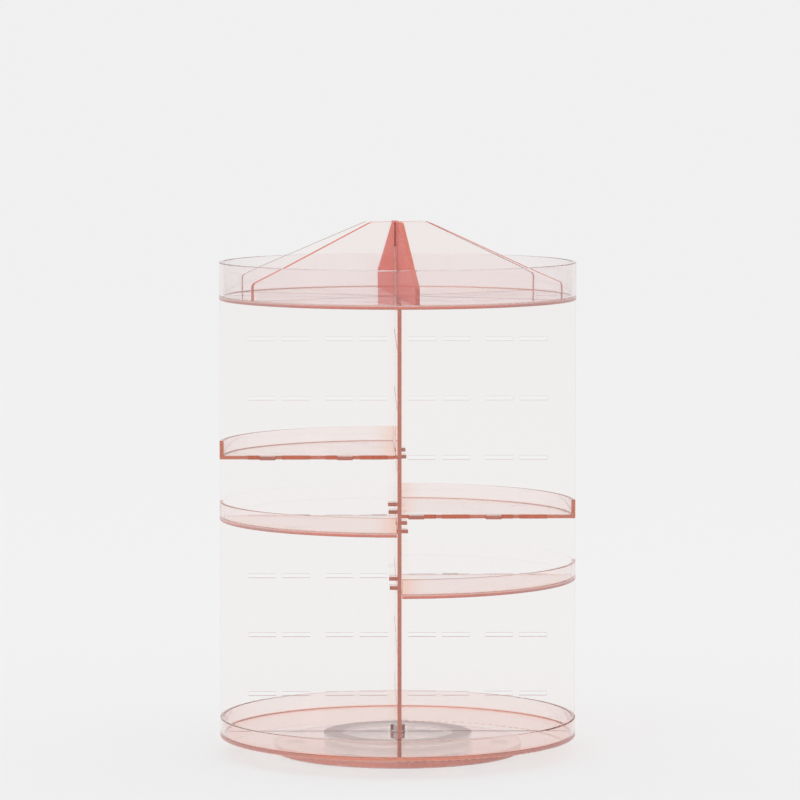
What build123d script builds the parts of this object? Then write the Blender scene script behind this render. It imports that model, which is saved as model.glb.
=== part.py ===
from build123d import *
from math import cos, radians, sin, tan
import os

# Rotating cosmetics carousel of clear acrylic, in millimetres.
#
# Two round trays and two crossed panels between them turn on a ball-bearing base. Four quarter-round
# trays plug into slots in the panels, each at its own height, and three crossed plates divide the top
# tray. +Z is up, the origin is the middle of the base on the table, and -Y is the front.

os.makedirs("parts", exist_ok=True)

# ---- driving dimensions: trays ------------------------------------------------------------------
tray_r = 115.0            # outer radius of every tray
rim_t = 2.6               # thickness of a rim
floor_t = 2.4             # thickness of a tray's floor
low_rim_h = 13.0          # bottom tray, underside to rim top
top_rim_h = 24.4          # top tray, underside to rim top
shelf_h = 12.2            # quarter tray, underside to rim top
rim_round = 0.7           # rounding along a rim's top and a tray's lower edge
inner_fillet = 0.5        # fillet between floor and rim

# ---- driving dimensions: panels -----------------------------------------------------------------
panel_t = 2.5             # thickness of an upright panel
panel_h = 280.4           # clear height between the two round trays
panel_inset = 0.3         # a panel's outer edge inside the trays' outer radius
panel_corner_r = 2.0      # rounding of a panel's outer corners
lap_gap = 0.1             # clearance of each face where two plates slot into each other
foot_gap = 0.4            # panel foot to the fillet at the bottom tray's rim, and panel to the rim's top
tenon_inset = 17.0        # trays' outer radius to the middle of a panel's tenon
tenon_w = 16.0            # width of a tenon
tenon_gap = 0.1           # clearance of a tenon in its mortise

# ---- driving dimensions: rows of slots, and the quarter trays' tabs -----------------------------
row_count = 7             # rows of slots in the panels
first_row_h = 23.2        # panel's foot to the underside of a shelf on the lowest row
last_row_drop = 26.8      # panel's top to the underside of a shelf on the highest row
tab_w = 10.0              # width of a shelf's tab, along the panel
tab_out = 4.4             # how far a tab stands out beyond the panel
near_tab_r = 12.0         # middle of the carousel to the middle of the first tab on a shelf's near side
tab_offset = 22.0         # the far side's tabs sit this much further out than the near side's
tab_spacing = 50.0        # between the two tabs of one side
shelf_gap = 0.4           # shelf's straight side to the panel's face
slot_gap = 0.3            # slot to tab, sideways
slot_play = 0.25          # slot to tab, above it

# ---- driving dimensions: divider plates in the top tray -----------------------------------------
fin_t = 2.8               # thickness of a divider plate
fin_gap = 0.4             # plate's outer edge to the top tray's rim
fin_h = 47.6              # height in the middle
fin_end_h = 11.0          # height at the outer edge
fin_top_half = 22.0       # half of the level stretch on top
fin_top_round = 10.0      # rounding where the level stretch meets the slope
fin_end_round = 3.0       # rounding at the outer end of the slope
fin_count = 3             # crossed plates
fin_turn = 5.7            # degrees that the set is turned from the panels

# ---- driving dimensions: base and bearing -------------------------------------------------------
base_r = 80.0             # base disc
base_t = 4.0
base_lower_round = 0.6    # rounding of the base disc's lower edge
base_upper_round = 0.5
boss_r = 8.0              # boss round the pivot, on top of the base disc
boss_h = 2.0

foot_h = 2.0              # rubber pad, full thickness
foot_sunk = 0.5           # depth of a pad's seat in the base
foot_r = 6.0              # radius of a pad
foot_inset = 14.0         # base disc's edge to a pad's middle
foot_count = 6
foot_seat_gap = 0.1       # pad to the wall of its seat
foot_chamfer = 0.4

ball_r = 2.0
ball_circle_r = 42.0      # middle to a ball's middle
ball_count = 24
ball_gap = 0.05           # ball to its groove
race_half_w = 6.0         # half of the width of a race ring
race_t = 1.8              # thickness of a race ring
race_apart = 2.2          # lower ring's top to the upper ring's underside
cage_t = 1.6
cage_half_w = 4.5
cage_hole_gap = 0.15      # ball to its hole in the cage

# ---- driving dimensions: pivot ------------------------------------------------------------------
bolt_r = 2.5              # pivot bolt's shank
bolt_gap = 0.05           # running clearance of the tray on the bolt
bolt_fit_gap = 0.05       # bolt to the base disc and to its washer
bolt_head_r = 5.0
bolt_head_h = 1.8
bolt_sunk = 0.4           # head below the base disc's underside
bolt_past_nut = 0.8
socket_across = 3.0       # hexagon socket in the bolt's head, across its flats
socket_deep = 1.2
washer_r = 5.0
washer_t = 0.8
nut_across = 8.0          # across flats
nut_h = 4.0
nut_chamfer = 0.5
arch_gap = 2.0            # panels to the nut, sideways and above

# ---- heights and places worked out from them ----------------------------------------------------
base_z = foot_h - foot_sunk                  # underside of the base disc
base_top_z = base_z + base_t
ball_z = base_top_z + race_t + race_apart / 2
tray_z = base_top_z + race_t + race_apart + race_t
panel_z = tray_z + floor_t                   # foot of the panels, on the bottom tray's floor
top_z = panel_z + panel_h                    # underside of the top tray
fin_z = top_z + floor_t                      # foot of the divider plates

inner_r = tray_r - rim_t                     # inside of a rim
tenon_r = tray_r - tenon_inset
row_pitch = (panel_h - first_row_h - last_row_drop) / (row_count - 1)

shelf_inset = panel_t / 2 + shelf_gap        # a shelf's straight sides from the panels' middle planes
tab_reach = shelf_gap + panel_t + tab_out    # length of a tab from the shelf's straight side
near_tabs = (near_tab_r, near_tab_r + tab_spacing)
far_tabs = (near_tab_r + tab_offset, near_tab_r + tab_offset + tab_spacing)
pull_out = tab_reach                         # a tab moves this far along its slot before it is free
slot_h = floor_t + slot_play

nut_corner_r = nut_across / 2 / cos(radians(30))
bolt_top_z = panel_z + washer_t + nut_h + bolt_past_nut


def row_z(row):
    """Underside of a shelf on the given row, counted from the lowest."""
    return panel_z + first_row_h + row * row_pitch


def save(part, label):
    """Label a finished piece and write its file."""
    part.label = label
    export_step(part, f"parts/{label}.step")


# ---- base ---------------------------------------------------------------------------------------
with BuildPart() as base_disc:
    with BuildSketch(Plane.XY.offset(base_z)):
        Circle(base_r)
    extrude(amount=base_t)
    fillet(base_disc.edges().group_by(Axis.Z)[0], base_lower_round)
    fillet(base_disc.edges().group_by(Axis.Z)[-1], base_upper_round)
    with BuildSketch(Plane.XY.offset(base_top_z)):
        Circle(boss_r)
    extrude(amount=boss_h)
    with BuildSketch(Plane.XY.offset(base_z)):
        Circle(bolt_head_r + bolt_fit_gap)
    extrude(amount=bolt_sunk + bolt_head_h, mode=Mode.SUBTRACT)
    with BuildSketch(Plane.XY.offset(base_z)):
        Circle(bolt_r + bolt_fit_gap)
    extrude(amount=base_t + boss_h, mode=Mode.SUBTRACT)
    with BuildSketch(Plane.XY.offset(base_z)):
        with PolarLocations(base_r - foot_inset, foot_count):
            Circle(foot_r + foot_seat_gap)
    extrude(amount=foot_sunk, mode=Mode.SUBTRACT)
save(base_disc.part, "base_disc")

with BuildPart() as base_feet:
    with BuildSketch(Plane.XY):
        with PolarLocations(base_r - foot_inset, foot_count):
            Circle(foot_r)
    extrude(amount=foot_h)
    chamfer(base_feet.edges().group_by(Axis.Z)[0], foot_chamfer)
save(base_feet.part, "base_feet")


# ---- bearing ------------------------------------------------------------------------------------
def race(bottom_z):
    """Flat ring with the groove that the balls run in."""
    with BuildPart() as ring:
        with BuildSketch(Plane.XZ):
            with Locations((ball_circle_r, bottom_z + race_t / 2)):
                Rectangle(2 * race_half_w, race_t)
            with Locations((ball_circle_r, ball_z)):
                Circle(ball_r + ball_gap, mode=Mode.SUBTRACT)
        revolve(axis=Axis.Z)
    return ring.part


save(race(base_top_z), "lower_race")
save(race(tray_z - race_t), "upper_race")

with BuildPart() as ball_cage:
    with BuildSketch(Plane.XY.offset(ball_z - cage_t / 2)):
        Circle(ball_circle_r + cage_half_w)
        Circle(ball_circle_r - cage_half_w, mode=Mode.SUBTRACT)
        with PolarLocations(ball_circle_r, ball_count):
            Circle(ball_r + cage_hole_gap, mode=Mode.SUBTRACT)
    extrude(amount=cage_t)
save(ball_cage.part, "ball_cage")

with BuildPart() as bearing_balls:
    with Locations((0, 0, ball_z)):
        with PolarLocations(ball_circle_r, ball_count):
            Sphere(ball_r)
save(bearing_balls.part, "bearing_balls")

# ---- pivot --------------------------------------------------------------------------------------
with BuildPart() as pivot_bolt:
    with BuildSketch(Plane.XY.offset(base_z + bolt_sunk)):
        Circle(bolt_head_r)
    extrude(amount=bolt_head_h)
    with BuildSketch(Plane.XY.offset(base_z + bolt_sunk)):
        RegularPolygon(socket_across / 2, 6, major_radius=False)
    extrude(amount=socket_deep, mode=Mode.SUBTRACT)
    with BuildSketch(Plane.XY.offset(base_z + bolt_sunk + bolt_head_h)):
        Circle(bolt_r)
    extrude(amount=bolt_top_z - base_z - bolt_sunk - bolt_head_h)
save(pivot_bolt.part, "pivot_bolt")

with BuildPart() as pivot_washer:
    with BuildSketch(Plane.XY.offset(panel_z)):
        Circle(washer_r)
        Circle(bolt_r + bolt_fit_gap, mode=Mode.SUBTRACT)
    extrude(amount=washer_t)
save(pivot_washer.part, "pivot_washer")

with BuildPart() as pivot_nut:
    with BuildSketch(Plane.XY.offset(panel_z + washer_t)):
        RegularPolygon(nut_across / 2, 6, major_radius=False)
    extrude(amount=nut_h)
    chamfer(pivot_nut.edges().group_by(Axis.Z)[-1], nut_chamfer)
    with BuildSketch(Plane.XY.offset(panel_z + washer_t)):
        Circle(bolt_r)
    extrude(amount=nut_h, mode=Mode.SUBTRACT)
save(pivot_nut.part, "pivot_nut")


# ---- round trays --------------------------------------------------------------------------------
def tray_section(height, bottom_z):
    """Half of a tray's upright section, from the middle to the rim."""
    with BuildSketch(Plane(origin=(0, 0, bottom_z), x_dir=(1, 0, 0), z_dir=(0, -1, 0))) as section:
        with BuildLine():
            Polyline(
                (0, 0),
                (tray_r, 0),
                (tray_r, height),
                (inner_r, height),
                (inner_r, floor_t),
                (0, floor_t),
                close=True,
            )
        make_face()
        rim_top = section.vertices().group_by(Axis.Y)[-1]
        lower_edge = section.vertices().sort_by_distance((tray_r, 0))[:1]
        fillet(rim_top + lower_edge, rim_round)
        fillet(section.vertices().sort_by_distance((inner_r, floor_t))[0], inner_fillet)
    return section.sketch


def round_tray(height, bottom_z, hole_r):
    """Round tray with mortises for both panels' tenons, and a hole in the middle if hole_r is set."""
    with BuildPart() as tray:
        revolve(tray_section(height, bottom_z), axis=Axis.Z)
        with BuildSketch(Plane.XY.offset(bottom_z)):
            with PolarLocations(tenon_r, 4):
                Rectangle(tenon_w + 2 * tenon_gap, panel_t + 2 * tenon_gap)
            if hole_r:
                Circle(hole_r)
        extrude(amount=floor_t, mode=Mode.SUBTRACT)
    return tray.part


save(round_tray(low_rim_h, tray_z, bolt_r + bolt_gap), "bottom_tray")
save(round_tray(top_rim_h, top_z, 0), "top_tray")


# ---- panels -------------------------------------------------------------------------------------
def panel(plane, lap_from_top):
    """Upright panel in the given plane, half-lapped in the middle from its top or from its foot."""
    panel_r = tray_r - panel_inset
    notch_w = panel_r - (inner_r - inner_fillet - foot_gap)
    notch_h = low_rim_h - floor_t + foot_gap
    notch_middle = panel_r - notch_w / 2
    lap_h = panel_h / 2 + lap_gap
    lap_middle = panel_h - lap_h / 2 if lap_from_top else lap_h / 2
    tenon_h = floor_t - tenon_gap
    arch_h = bolt_top_z - panel_z + arch_gap
    slot_middles = [
        (side * (tab_r + pull_out / 2), row_z(row) + slot_h / 2)
        for row in range(row_count)
        for tab_r in near_tabs + far_tabs
        for side in (-1, 1)
    ]
    with BuildPart() as sheet:
        with BuildSketch(plane) as outline:
            with Locations((0, panel_z + panel_h / 2)):
                RectangleRounded(2 * panel_r, panel_h, panel_corner_r)
            with Locations((-notch_middle, panel_z + notch_h / 2), (notch_middle, panel_z + notch_h / 2)):
                Rectangle(notch_w, notch_h, mode=Mode.SUBTRACT)
            for side in (-1, 1):
                corner = outline.vertices().sort_by_distance((side * panel_r, panel_z + notch_h))[0]
                fillet(corner, panel_corner_r)
            with Locations((-tenon_r, 0), (tenon_r, 0)):
                with Locations((0, panel_z - tenon_h / 2), (0, top_z + tenon_h / 2)):
                    Rectangle(tenon_w, tenon_h)
            with Locations((0, panel_z + arch_h / 2)):
                Rectangle(2 * (nut_corner_r + arch_gap), arch_h, mode=Mode.SUBTRACT)
            with Locations((0, panel_z + lap_middle)):
                Rectangle(panel_t + 2 * lap_gap, lap_h, mode=Mode.SUBTRACT)
            with Locations(*slot_middles):
                Rectangle(tab_w + pull_out + 2 * slot_gap, slot_h, mode=Mode.SUBTRACT)
        extrude(amount=panel_t / 2, both=True)
    return sheet.part


save(panel(Plane.XZ, True), "wide_panel")
save(panel(Plane.YZ, False), "cross_panel")


# ---- quarter trays ------------------------------------------------------------------------------
def shelf(turn, row):
    """Quarter-round tray. Turned by 0 degrees it fills the quarter between +X and +Y.

    Its near side lies along the first of these two panels and its far side along the second, with the
    tabs of the far side further out, so that two neighbours on one row can share a panel.
    """
    z = row_z(row)
    quarter = Plane(origin=(0, 0, z), x_dir=(cos(radians(turn)), sin(radians(turn)), 0), z_dir=(0, 0, 1))
    with BuildPart() as tray:
        revolve(tray_section(shelf_h, z), axis=Axis.Z)
        with BuildSketch(quarter):
            with Locations((shelf_inset, shelf_inset)):
                Rectangle(tray_r, tray_r, align=(Align.MIN, Align.MIN))
        extrude(amount=shelf_h, mode=Mode.INTERSECT)
        with BuildSketch(quarter):
            with Locations(*[(tab_r, shelf_inset) for tab_r in near_tabs]):
                Rectangle(tab_w, tab_reach, align=(Align.CENTER, Align.MAX))
            with Locations(*[(shelf_inset, tab_r) for tab_r in far_tabs]):
                Rectangle(tab_reach, tab_w, align=(Align.MAX, Align.CENTER))
        extrude(amount=floor_t)
    return tray.part


save(shelf(0, 3), "tray_rear_right")
save(shelf(90, 4), "tray_rear_left")
save(shelf(180, 3), "tray_front_left")
save(shelf(270, 2), "tray_front_right")


# ---- divider plates -----------------------------------------------------------------------------
def divider(index):
    """One of the crossed plates. Each keeps its own share of the height where they all cross."""
    turn = radians(90 + fin_turn + index * 180 / fin_count)
    crossing = radians(180 / fin_count)
    fin_r = inner_r - fin_gap
    lap_w = fin_t / sin(crossing) + fin_t / tan(crossing) + 2 * lap_gap
    keep_low = index * fin_h / fin_count
    keep_high = keep_low + fin_h / fin_count
    upright = Plane(origin=(0, 0, fin_z), x_dir=(cos(turn), sin(turn), 0), z_dir=(sin(turn), -cos(turn), 0))
    with BuildPart() as plate:
        with BuildSketch(upright) as outline:
            with BuildLine():
                Polyline(
                    (-fin_r, 0),
                    (fin_r, 0),
                    (fin_r, fin_end_h),
                    (fin_top_half, fin_h),
                    (-fin_top_half, fin_h),
                    (-fin_r, fin_end_h),
                    close=True,
                )
            make_face()
            fillet(outline.vertices().group_by(Axis.Y)[-1], fin_top_round)
            fillet(outline.vertices().group_by(Axis.Y)[1], fin_end_round)
            fillet(outline.vertices().group_by(Axis.Y)[0], inner_fillet + fin_gap)
            if index > 0:
                Rectangle(
                    lap_w, keep_low + lap_gap / 2, align=(Align.CENTER, Align.MIN), mode=Mode.SUBTRACT
                )
            if index < fin_count - 1:
                with Locations((0, keep_high - lap_gap / 2)):
                    Rectangle(lap_w, fin_h, align=(Align.CENTER, Align.MIN), mode=Mode.SUBTRACT)
        extrude(amount=fin_t / 2, both=True)
    return plate.part


for plate_index, plate_name in enumerate(("divider_low", "divider_mid", "divider_high")):
    save(divider(plate_index), plate_name)
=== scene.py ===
from math import cos, radians, sin

import bpy
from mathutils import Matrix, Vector


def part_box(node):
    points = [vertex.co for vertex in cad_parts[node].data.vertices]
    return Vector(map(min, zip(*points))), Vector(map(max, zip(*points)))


# Looks of a rotating cosmetics carousel of clear pink acrylic. Every solid comes from the frame, in
# metres, so this file makes its materials, the studio round it and the camera.

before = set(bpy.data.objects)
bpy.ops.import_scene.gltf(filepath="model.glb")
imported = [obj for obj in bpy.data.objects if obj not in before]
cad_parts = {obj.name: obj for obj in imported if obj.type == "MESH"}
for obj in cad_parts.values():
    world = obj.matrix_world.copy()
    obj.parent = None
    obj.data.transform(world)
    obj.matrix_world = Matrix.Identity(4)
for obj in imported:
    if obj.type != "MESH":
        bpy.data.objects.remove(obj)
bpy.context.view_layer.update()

MM = 0.001

# ---- sizes of the object that the materials follow ----------------------------------------------
sheet_edge_share = 0.5            # a face turned this far from the sheet's own is a cut edge
floor_t = 2.4 * MM                # thickness of a tray's floor
base_t = 4.0 * MM                 # thickness of the base disc
rim_t = 2.6 * MM                  # thickness of a tray's rim
fillet_r = 0.5 * MM               # fillet between floor and rim
edge_depth = 0.5 * MM             # a tray's edge band begins this far inside its outer radius
cut_inset = 1.9 * MM              # a quarter tray's straight cut faces lie nearer than this to a panel
cut_glow_w = 16 * MM              # width of the painted glow beside them
foot_glow_w = 24 * MM             # width of the painted glow in a floor, inward from the rim
cross_glow_w = 9 * MM             # reach of the painted glow round the line where plates cross
divider_turn = radians(95.7)      # direction of the first divider plate, from +X
divider_step = radians(60)        # from one divider plate to the next

# ---- colours of the acrylic, and of the light and reflections painted on it ---------------------
top_tint = (0.985, 0.966, 0.974)
shelf_tint = (1.0, 0.938, 0.925)
low_tint = (1.0, 0.935, 0.920)
panel_tint = (1.0, 0.992, 0.988)
divider_tint = (1.0, 0.982, 0.976)
base_tint = (1.0, 0.93, 0.91)
painted_grazing_reflection = (0.84, 0.77, 0.79)         # painted reflection on trays and panels seen along their face
painted_grazing_salmon_light = (0.80, 0.13, 0.10)       # painted reflection and edge light on divider plates seen along their face
painted_grazing_light_share = 0.70                       # share of a divider plate that isn't clear there, painted salmon light in its place
painted_glow = (1.0, 0.78, 0.70)             # painted glow beside a lit edge
painted_glow_deep = (1.0, 0.64, 0.55)             # painted glow in the bottom tray's floor
painted_glow_pale = (1.0, 0.95, 0.92)             # painted glow where the plates cross

# Cut edges: the sheet's own colour gathered along the edge, deepened with painted edge light that the
# acrylic carries out to its cut faces
edge_orange = (0.90, 0.31, 0.18)
edge_salmon = (0.84, 0.30, 0.23)
edge_rose = (0.66, 0.38, 0.36)
# painted highlight: the paler top of a tray's edge band, and the lower rounding of the base disc
painted_pale_edge_highlight = (0.92, 0.70, 0.67)
edge_brick = (0.64, 0.27, 0.21)
# painted highlight: the lowest rounding of the bottom tray's edge band
painted_edge_highlight = (1.0, 0.60, 0.50)
# painted edge light: the bottom tray's edge band where it faces the camera
edge_lit = (0.98, 0.38, 0.27)
edge_soft = (0.86, 0.46, 0.41)
edge_grain = (0.86, 0.84, 0.84)           # darkest tone of the grain in a cut edge

lamp_tint = (0.995, 0.975, 0.972)         # left of a lamp's light by each face that it crosses

# Light lost inside the acrylic: colour of the volume and its density per metre
absorbed = (0.80, 0.28, 0.09)
absorbed_density = 10.0
acrylic_ior = 1.49

# ---- finish of the acrylic ----------------------------------------------------------------------
edge_clear_share = 0.35           # share of a cut edge that is clear
edge_roughness = 0.30
polish_roughness = 0.03           # most that a polished face has
wave_scale = 38.0                 # of the faint waves in a polished face
grain_scale = 900.0
wave_strength = 0.04
grazing_power = 2.5               # how late the painted grazing reflection sets in as a face turns away
grazing_light_start = 0.55                 # how far a divider plate has turned when its painted grazing light begins
grazing_light_full = 0.90                  # and when it is full

# ---- studio -------------------------------------------------------------------------------------
background_level = 0.872          # brightness of the empty background
world_light = 0.82                # strength of the even light from all round
dark_band_level = 0.30            # dimmer ring between the walls and the ceiling, seen in gloss only
ceiling_level = 1.1
shadow_lift = 0.64                # share of the floor that shows the even background near the object

# ---- camera -------------------------------------------------------------------------------------
image_px = 800
focal_px = 4675
camera_distance = 3.007
camera_height = 0.4667
camera_pitch = radians(4.52)
camera_turn = radians(0.6)        # round the object towards -X
camera_sideways = 0.0015          # to the right of the line through the object's axis


# ---- node helpers -------------------------------------------------------------------------------
class Nodes:
    """A material's or the world's node tree, with short calls for what is used here."""

    def __init__(self, owner, output_kind):
        owner.use_nodes = True
        self.tree = owner.node_tree
        self.tree.nodes.clear()
        self.output = self.tree.nodes.new(output_kind)

    def add(self, kind, inputs=None, **settings):
        """New node. inputs maps a socket's name or number to a value or to another node's output."""
        made = self.tree.nodes.new(kind)
        for name, value in settings.items():
            setattr(made, name, value)
        for name, value in (inputs or {}).items():
            self.put(value, made.inputs[name])
        return made

    def put(self, value, socket):
        if isinstance(value, bpy.types.NodeSocket):
            self.tree.links.new(value, socket)
        elif isinstance(value, tuple) and len(value) == 3 and socket.type == "RGBA":
            socket.default_value = (*value, 1.0)
        else:
            socket.default_value = value

    def math(self, operation, first, second=0.0, third=0.0):
        made = self.add("ShaderNodeMath", {0: first, 1: second, 2: third}, operation=operation)
        return made.outputs["Value"]

    def smooth(self, value, start, end, low=0.0, high=1.0):
        """value mapped smoothly from low at start to high at end."""
        made = self.add(
            "ShaderNodeMapRange",
            {"Value": value, "From Min": start, "From Max": end, "To Min": low, "To Max": high},
            interpolation_type="SMOOTHSTEP",
        )
        return made.outputs["Result"]

    def mix(self, share, first, second, blend="MIX"):
        """Colour that goes from first to second as share goes from 0 to 1."""
        made = self.add("ShaderNodeMix", data_type="RGBA", blend_type=blend)
        self.put(share, made.inputs[0])
        self.put(first, made.inputs[6])
        self.put(second, made.inputs[7])
        return made.outputs[2]

    def radius(self, place):
        """Distance from the object's upright axis."""
        flat = self.add("ShaderNodeCombineXYZ", {0: place[0], 1: place[1]})
        length = self.add("ShaderNodeVectorMath", {0: flat.outputs["Vector"]}, operation="LENGTH")
        return length.outputs["Value"]

    def shape(self):
        """Sockets of the place and the normal in the object's own frame: x, y, z, nx, ny, nz."""
        coord = self.add("ShaderNodeTexCoord")
        place = self.add("ShaderNodeSeparateXYZ", {0: coord.outputs["Object"]})
        normal = self.add("ShaderNodeSeparateXYZ", {0: coord.outputs["Normal"]})
        return coord, place.outputs, normal.outputs

    def noise(self, coord, scale, detail=2.0):
        made = self.add(
            "ShaderNodeTexNoise",
            {"Vector": coord.outputs["Object"], "Scale": scale, "Detail": detail},
        )
        return made.outputs["Fac"]

    def let_lamps_through(self, shader):
        """Put the shader on the surface, and let light straight from the lamps cross it."""
        lamps_pass = self.add("ShaderNodeBsdfTransparent", {"Color": lamp_tint})
        path = self.add("ShaderNodeLightPath")
        surface = self.add(
            "ShaderNodeMixShader",
            {0: path.outputs["Is Shadow Ray"], 1: shader.outputs["BSDF"], 2: lamps_pass.outputs["BSDF"]},
        )
        self.put(surface.outputs["Shader"], self.output.inputs["Surface"])


def new_material(name):
    """Empty material and its nodes."""
    material = bpy.data.materials.new(name)
    return material, Nodes(material, "ShaderNodeOutputMaterial")


# ---- acrylic ------------------------------------------------------------------------------------
def finish_acrylic(nodes, coord, tint, grazing, glow, glow_colour, edge, edge_colour, soft=0.0, grazing_light_share=0.0):
    """Clear acrylic: a painted glow of glow_colour where glow is 1, and a satin, partly clear cut edge
    where edge is 1.

    Where soft is 1 the surface is as satin as an edge, but clear. As the surface turns from the camera its
    colour goes to grazing, a painted reflection. The last argument is the share that isn't clear, or
    glossy, where the surface is seen along its face, and shows that painted grazing colour instead.
    """
    wave = nodes.noise(coord, wave_scale, 1.0)
    grain = nodes.noise(coord, grain_scale, 3.0)
    along_face = nodes.add("ShaderNodeLayerWeight", {"Blend": 0.5}).outputs["Facing"]
    if grazing_light_share:
        grazing_share = nodes.smooth(along_face, grazing_light_start, grazing_light_full)
    else:
        grazing_share = nodes.math("POWER", along_face, grazing_power)
    # painted reflection: the body turns to the grazing colour as the face turns away
    body = nodes.mix(grazing_share, tint, grazing)
    body = nodes.mix(glow, body, glow_colour)
    shade = nodes.mix(nodes.smooth(grain, 0.35, 0.70), edge_grain, (1.0, 1.0, 1.0))
    cut = nodes.mix(1.0, edge_colour, shade, "MULTIPLY")
    polish = nodes.smooth(grain, 0.45, 0.75, 0.0, polish_roughness)
    blur = nodes.math("MAXIMUM", edge, soft)
    bump = nodes.add("ShaderNodeBump", {"Strength": wave_strength, "Distance": MM, "Height": wave})
    clear = nodes.math("MULTIPLY_ADD", edge, edge_clear_share - 1.0, 1.0)
    # painted grazing light: a divider plate turns less clear as it turns away and shows the painted salmon
    if grazing_light_share:
        clear = nodes.math("MULTIPLY", clear, nodes.math("MULTIPLY_ADD", grazing_share, -grazing_light_share, 1.0))
    shader = nodes.add(
        "ShaderNodeBsdfPrincipled",
        {
            "Base Color": nodes.mix(edge, body, cut),
            "Roughness": nodes.math("MULTIPLY_ADD", blur, edge_roughness, polish),
            "IOR": acrylic_ior,
            "Transmission Weight": clear,
            "Specular IOR Level": 0.0 if grazing_light_share else 0.5,
            "Normal": bump.outputs["Normal"],
        },
    )
    nodes.let_lamps_through(shader)
    volume = nodes.add("ShaderNodeVolumeAbsorption", {"Color": absorbed, "Density": absorbed_density})
    nodes.put(volume.outputs["Volume"], nodes.output.inputs["Volume"])


def sheet_acrylic(name, thickness_axis, tint, grazing, edge_colour, grazing_light_share=0.0):
    """Flat sheet: every face that isn't across thickness_axis is a cut edge."""
    material, nodes = new_material(name)
    coord, place, normal = nodes.shape()
    across = nodes.add(
        "ShaderNodeVectorMath", {0: coord.outputs["Normal"], 1: thickness_axis}, operation="DOT_PRODUCT"
    )
    edge = nodes.math("LESS_THAN", nodes.math("ABSOLUTE", across.outputs["Value"]), sheet_edge_share)
    # painted glow round the line where the plates cross
    glow = nodes.smooth(nodes.radius(place), 2 * MM, cross_glow_w, 0.8, 0.0)
    finish_acrylic(nodes, coord, tint, grazing, glow, painted_glow_pale, edge, edge_colour, grazing_light_share=grazing_light_share)
    return material


class Round:
    """Masks of a round tray or disc, from its own box: edge band, floor, floor near the rim, fillet."""

    def __init__(self, nodes, node, band_h):
        low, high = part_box(node)
        outer_r = max(abs(value) for corner in (low, high) for value in corner[:2])
        inner_r = outer_r - rim_t
        self.nodes = nodes
        self.coord, self.place, self.normal = nodes.shape()
        self.height = nodes.math("SUBTRACT", self.place[2], low[2])
        radius = nodes.radius(self.place)
        outside = nodes.math("GREATER_THAN", radius, outer_r - edge_depth)
        in_band = nodes.smooth(self.height, band_h * 0.97, band_h * 1.12, 1.0, 0.0)
        self.band = nodes.math("MULTIPLY", outside, in_band)
        low_down = nodes.smooth(self.height, floor_t + fillet_r, floor_t + 2 * fillet_r, 1.0, 0.0)
        self.floor = nodes.math("MULTIPLY", nodes.math("LESS_THAN", radius, inner_r), low_down)
        # floor near the rim, where a painted glow goes
        foot = nodes.smooth(radius, outer_r - foot_glow_w, outer_r - 3 * MM)
        self.foot = nodes.math("MULTIPLY", foot, low_down)
        near_fillet = nodes.math("GREATER_THAN", radius, inner_r - fillet_r)
        in_tray = nodes.math("LESS_THAN", radius, outer_r - rim_t / 2)
        above_floor = nodes.math("GREATER_THAN", self.height, floor_t - 0.1 * MM)
        corner = nodes.math("MULTIPLY", nodes.math("MULTIPLY", near_fillet, in_tray), above_floor)
        self.fillet = nodes.math("MULTIPLY", corner, low_down)

    def paint(self, face_on, aslant, upper, lowest):
        """Colour of the edge band, by how far it turns away and by the height in the band: painted edge
        light, with painted highlights at the top (upper) and at the lowest rounding (lowest).
        """
        nodes = self.nodes
        turned = nodes.add("ShaderNodeLayerWeight", {"Blend": 0.5}).outputs["Facing"]
        middle = nodes.mix(nodes.smooth(turned, 0.03, 0.34), face_on, aslant)
        if upper:
            # painted highlight along the top of the band
            middle = nodes.mix(nodes.smooth(self.height, 1.2 * MM, 2.3 * MM), middle, upper)
        if lowest:
            # painted highlight along the lowest rounding of the band
            middle = nodes.mix(nodes.smooth(self.height, 0.5 * MM, 0.9 * MM), lowest, middle)
        return middle


def round_acrylic(name, node, tint, band_h, foot_glow, floor_glow, glow_colour, edge_colours):
    """Round tray or disc: painted light on the edge of its floor, and a painted glow in the floor as much
    as is said.
    """
    material, nodes = new_material(name)
    shape = Round(nodes, node, band_h)
    # painted glow near the rim, at the fillet and over the floor
    glow = nodes.math("MULTIPLY", nodes.math("MAXIMUM", shape.foot, shape.fillet), foot_glow)
    glow = nodes.math("MAXIMUM", glow, nodes.math("MULTIPLY", shape.floor, floor_glow))
    paint = shape.paint(*edge_colours)
    finish_acrylic(
        nodes, shape.coord, tint, painted_grazing_reflection, glow, glow_colour, shape.band, paint, shape.fillet
    )
    return material


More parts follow.
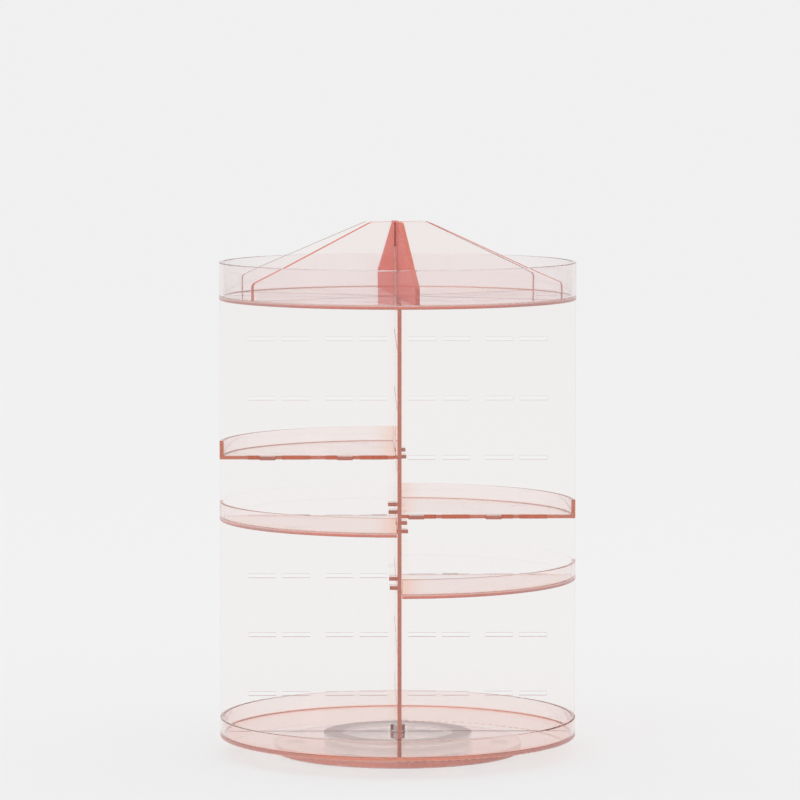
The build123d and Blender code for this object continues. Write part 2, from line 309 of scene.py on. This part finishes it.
def shelf_acrylic(name, node):
    """Quarter tray: painted light on the edge of its floor, its straight cut ends and its tabs, and a
    painted glow beside the cut ends and near the rim.
    """
    low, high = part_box(node)
    material, nodes = new_material(name)
    shape = Round(nodes, node, floor_t)
    outward = [1 if low[axis] + high[axis] > 0 else -1 for axis in (0, 1)]
    inside = [nodes.math("MULTIPLY", shape.place[axis], outward[axis]) for axis in (0, 1)]
    to_cut = nodes.math("MINIMUM", inside[0], inside[1])
    upright = nodes.math("LESS_THAN", nodes.math("ABSOLUTE", shape.normal[2]), 0.7)
    cut = nodes.math("MULTIPLY", nodes.math("LESS_THAN", to_cut, cut_inset), upright)
    # painted glow beside the straight cut ends, and near the rim and the fillet
    beside_cut = nodes.smooth(to_cut, cut_inset, cut_inset + cut_glow_w, 0.75, 0.0)
    foot = nodes.math("MULTIPLY", nodes.math("MAXIMUM", shape.foot, shape.fillet), 0.55)
    tab = nodes.math("LESS_THAN", to_cut, 0.0)
    cut_colour = nodes.mix(tab, edge_orange, edge_brick)
    paint = nodes.mix(cut, shape.paint(edge_salmon, edge_rose, painted_pale_edge_highlight, None), cut_colour)
    finish_acrylic(
        nodes, shape.coord, shelf_tint, painted_grazing_reflection, nodes.math("MAXIMUM", foot, beside_cut), painted_glow,
        nodes.math("MAXIMUM", shape.band, cut), paint, shape.fillet,
    )
    return material


# ---- other materials ----------------------------------------------------------------------------
def plain(name, colour, darker, roughness, metallic, scale):
    """Plain plastic, steel or rubber with a fine grain in its colour, gloss and surface."""
    material, nodes = new_material(name)
    coord = nodes.shape()[0]
    grain = nodes.noise(coord, scale, 4.0)
    tone = nodes.mix(nodes.smooth(grain, 0.35, 0.65), darker, colour)
    gloss = nodes.smooth(grain, 0.3, 0.7, roughness * 0.8, roughness * 1.2)
    bump = nodes.add("ShaderNodeBump", {"Strength": 0.05, "Distance": 0.0003, "Height": grain})
    shader = nodes.add(
        "ShaderNodeBsdfPrincipled",
        {"Base Color": tone, "Roughness": gloss, "Metallic": metallic, "Normal": bump.outputs["Normal"]},
    )
    nodes.put(shader.outputs["BSDF"], nodes.output.inputs["Surface"])
    return material


def frosted_plastic(name, colour, clear_share):
    """Moulded, half clear plastic with a fine grain."""
    material, nodes = new_material(name)
    coord = nodes.shape()[0]
    grain = nodes.noise(coord, 500.0, 4.0)
    bump = nodes.add("ShaderNodeBump", {"Strength": 0.02, "Distance": 0.0002, "Height": grain})
    shader = nodes.add(
        "ShaderNodeBsdfPrincipled",
        {
            "Base Color": nodes.mix(nodes.smooth(grain, 0.3, 0.7), colour, (1.0, 0.99, 0.985)),
            "Roughness": nodes.smooth(grain, 0.3, 0.7, 0.07, 0.11),
            "IOR": acrylic_ior,
            "Transmission Weight": clear_share,
            "Normal": bump.outputs["Normal"],
        },
    )
    nodes.let_lamps_through(shader)
    return material


def dress(node, material):
    """Give a node of the frame its material."""
    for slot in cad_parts[node].material_slots:
        slot.material = material


for panel_name, axis in {"wide_panel": (0, 1, 0), "cross_panel": (1, 0, 0)}.items():
    panel_look = sheet_acrylic(panel_name + "_acrylic", axis, panel_tint, painted_grazing_reflection, edge_brick)
    dress(panel_name, panel_look)

for index, plate_name in enumerate(("divider_low", "divider_mid", "divider_high")):
    turn = divider_turn + index * divider_step
    across_plate = (-sin(turn), cos(turn), 0)
    plate_look = sheet_acrylic(
        plate_name + "_acrylic", across_plate, divider_tint, painted_grazing_salmon_light, edge_salmon, painted_grazing_light_share
    )
    dress(plate_name, plate_look)

for shelf_name in ("tray_rear_left", "tray_rear_right", "tray_front_left", "tray_front_right"):
    dress(shelf_name, shelf_acrylic(shelf_name + "_acrylic", shelf_name))

dress("top_tray", round_acrylic(
    "top_acrylic", "top_tray", top_tint, floor_t, 0.5, 0.0, painted_glow,
    (edge_salmon, edge_rose, painted_pale_edge_highlight, None)))
dress("bottom_tray", round_acrylic(
    "bottom_acrylic", "bottom_tray", low_tint, floor_t, 0.75, 0.25, painted_glow_deep,
    (edge_lit, edge_rose, None, painted_edge_highlight)))
dress("base_disc", round_acrylic(
    "base_acrylic", "base_disc", base_tint, base_t, 0.0, 0.0, painted_glow,
    (edge_soft, edge_soft, None, painted_pale_edge_highlight)))

clear_ring = frosted_plastic("clear_plastic", (1.0, 0.98, 0.975), 0.98)
white_ring = frosted_plastic("white_plastic", (1.0, 0.97, 0.965), 0.70)
dress("lower_race", clear_ring)
dress("upper_race", clear_ring)
dress("ball_cage", white_ring)
dress("pivot_washer", white_ring)
dress("bearing_balls", plain("ball_steel", (0.80, 0.80, 0.81), (0.72, 0.72, 0.73), 0.12, 1.0, 600.0))
plated = plain("plated_steel", (0.84, 0.83, 0.83), (0.74, 0.73, 0.74), 0.36, 1.0, 900.0)
dress("pivot_bolt", plated)
dress("pivot_nut", plated)
dress("base_feet", plain("foot_rubber", (0.88, 0.82, 0.81), (0.80, 0.74, 0.73), 0.65, 0.0, 700.0))


# ---- stage: floor, world and lamps --------------------------------------------------------------
def make_floor():
    """Pale floor that keeps the object's shadow, with painted shade that darkens it towards the front, and
    runs out into an even background.
    """
    bpy.ops.mesh.primitive_plane_add(size=80)
    floor = bpy.context.object
    floor.name = "floor"
    material, nodes = new_material("floor")
    coord, place, normal = nodes.shape()
    # painted shade: the floor darker in front of the object (-Y) than behind it
    paint = nodes.mix(nodes.smooth(place[1], -0.5, 0.7), (0.845, 0.845, 0.852), (0.885, 0.885, 0.888))
    lit = nodes.add("ShaderNodeBsdfDiffuse", {"Color": paint})
    even = nodes.add("ShaderNodeEmission", {"Color": (background_level,) * 3, "Strength": 1.0})
    away = nodes.add("ShaderNodeVectorMath", {0: coord.outputs["Object"]}, operation="LENGTH")
    path = nodes.add("ShaderNodeLightPath")
    gloss = nodes.math("MAXIMUM", path.outputs["Is Glossy Ray"], path.outputs["Is Transmission Ray"])
    seen = nodes.math("MAXIMUM", path.outputs["Is Camera Ray"], gloss)
    even_share = nodes.math(
        "MAXIMUM", nodes.smooth(away.outputs["Value"], 1.0, 5.0), nodes.math("MULTIPLY", seen, shadow_lift)
    )
    blend = nodes.add(
        "ShaderNodeMixShader", {0: even_share, 1: lit.outputs["BSDF"], 2: even.outputs["Emission"]}
    )
    nodes.put(blend.outputs["Shader"], nodes.output.inputs["Surface"])
    floor.data.materials.append(material)


def make_world():
    """Even light from all round, and the room that gloss and clear pieces show."""
    world = bpy.data.worlds.new("studio")
    bpy.context.scene.world = world
    nodes = Nodes(world, "ShaderNodeOutputWorld")
    coord = nodes.add("ShaderNodeTexCoord")
    height = nodes.add("ShaderNodeSeparateXYZ", {0: coord.outputs["Generated"]}).outputs[2]
    wall_end = nodes.smooth(height, 0.42, 0.56, background_level, dark_band_level)
    level = nodes.math("ADD", wall_end, nodes.smooth(height, 0.80, 0.90, 0.0, ceiling_level))
    path = nodes.add("ShaderNodeLightPath")
    gloss = nodes.math("MAXIMUM", path.outputs["Is Glossy Ray"], path.outputs["Is Transmission Ray"])
    seen = nodes.math("MAXIMUM", path.outputs["Is Camera Ray"], gloss)
    room = nodes.add("ShaderNodeBackground", {"Color": level, "Strength": 1.0})
    light = nodes.add("ShaderNodeBackground", {"Color": (1.0, 1.0, 1.0), "Strength": world_light})
    mixed = nodes.add(
        "ShaderNodeMixShader", {0: seen, 1: light.outputs["Background"], 2: room.outputs["Background"]}
    )
    nodes.put(mixed.outputs["Shader"], nodes.output.inputs["Surface"])


def add_lamp(name, kind, energy, location, aim, **settings):
    """Lamp at location, turned to the point aim."""
    data = bpy.data.lights.new(name, kind)
    data.energy = energy
    for setting, value in settings.items():
        setattr(data, setting, value)
    lamp = bpy.data.objects.new(name, data)
    bpy.context.scene.collection.objects.link(lamp)
    lamp.location = location
    lamp.rotation_euler = (Vector(aim) - Vector(location)).to_track_quat("-Z", "Y").to_euler()


make_floor()
make_world()
middle = (0, 0, 0.17)
add_lamp("soft_sun", "SUN", 0.75, (-1.0, -1.4, 2.2), middle, angle=radians(45))
add_lamp("key_box", "AREA", 5.0, (-1.6, -1.8, 2.0), middle, shape="RECTANGLE", size=1.4, size_y=1.4)
add_lamp("fill_box", "AREA", 2.0, (1.9, -1.2, 1.2), middle, shape="RECTANGLE", size=0.8, size_y=1.8)


# ---- camera -------------------------------------------------------------------------------------
def make_camera():
    """Camera at the photograph's angle, with its long lens."""
    data = bpy.data.cameras.new("camera")
    data.lens = focal_px * data.sensor_width / image_px
    data.clip_end = 200
    camera = bpy.data.objects.new("camera", data)
    bpy.context.scene.collection.objects.link(camera)
    camera.location = (
        camera_sideways * cos(camera_turn) - camera_distance * sin(camera_turn),
        -camera_sideways * sin(camera_turn) - camera_distance * cos(camera_turn),
        camera_height,
    )
    camera.rotation_euler = (radians(90) - camera_pitch, 0, -camera_turn)
    bpy.context.scene.camera = camera


make_camera()
bpy.context.scene.view_settings.view_transform = "Standard"

# Light has to cross many faces of clear acrylic before it gets out of a sheet's edge
light_paths = bpy.context.scene.cycles
light_paths.max_bounces = 48
light_paths.transmission_bounces = 40
light_paths.glossy_bounces = 40
light_paths.transparent_max_bounces = 24
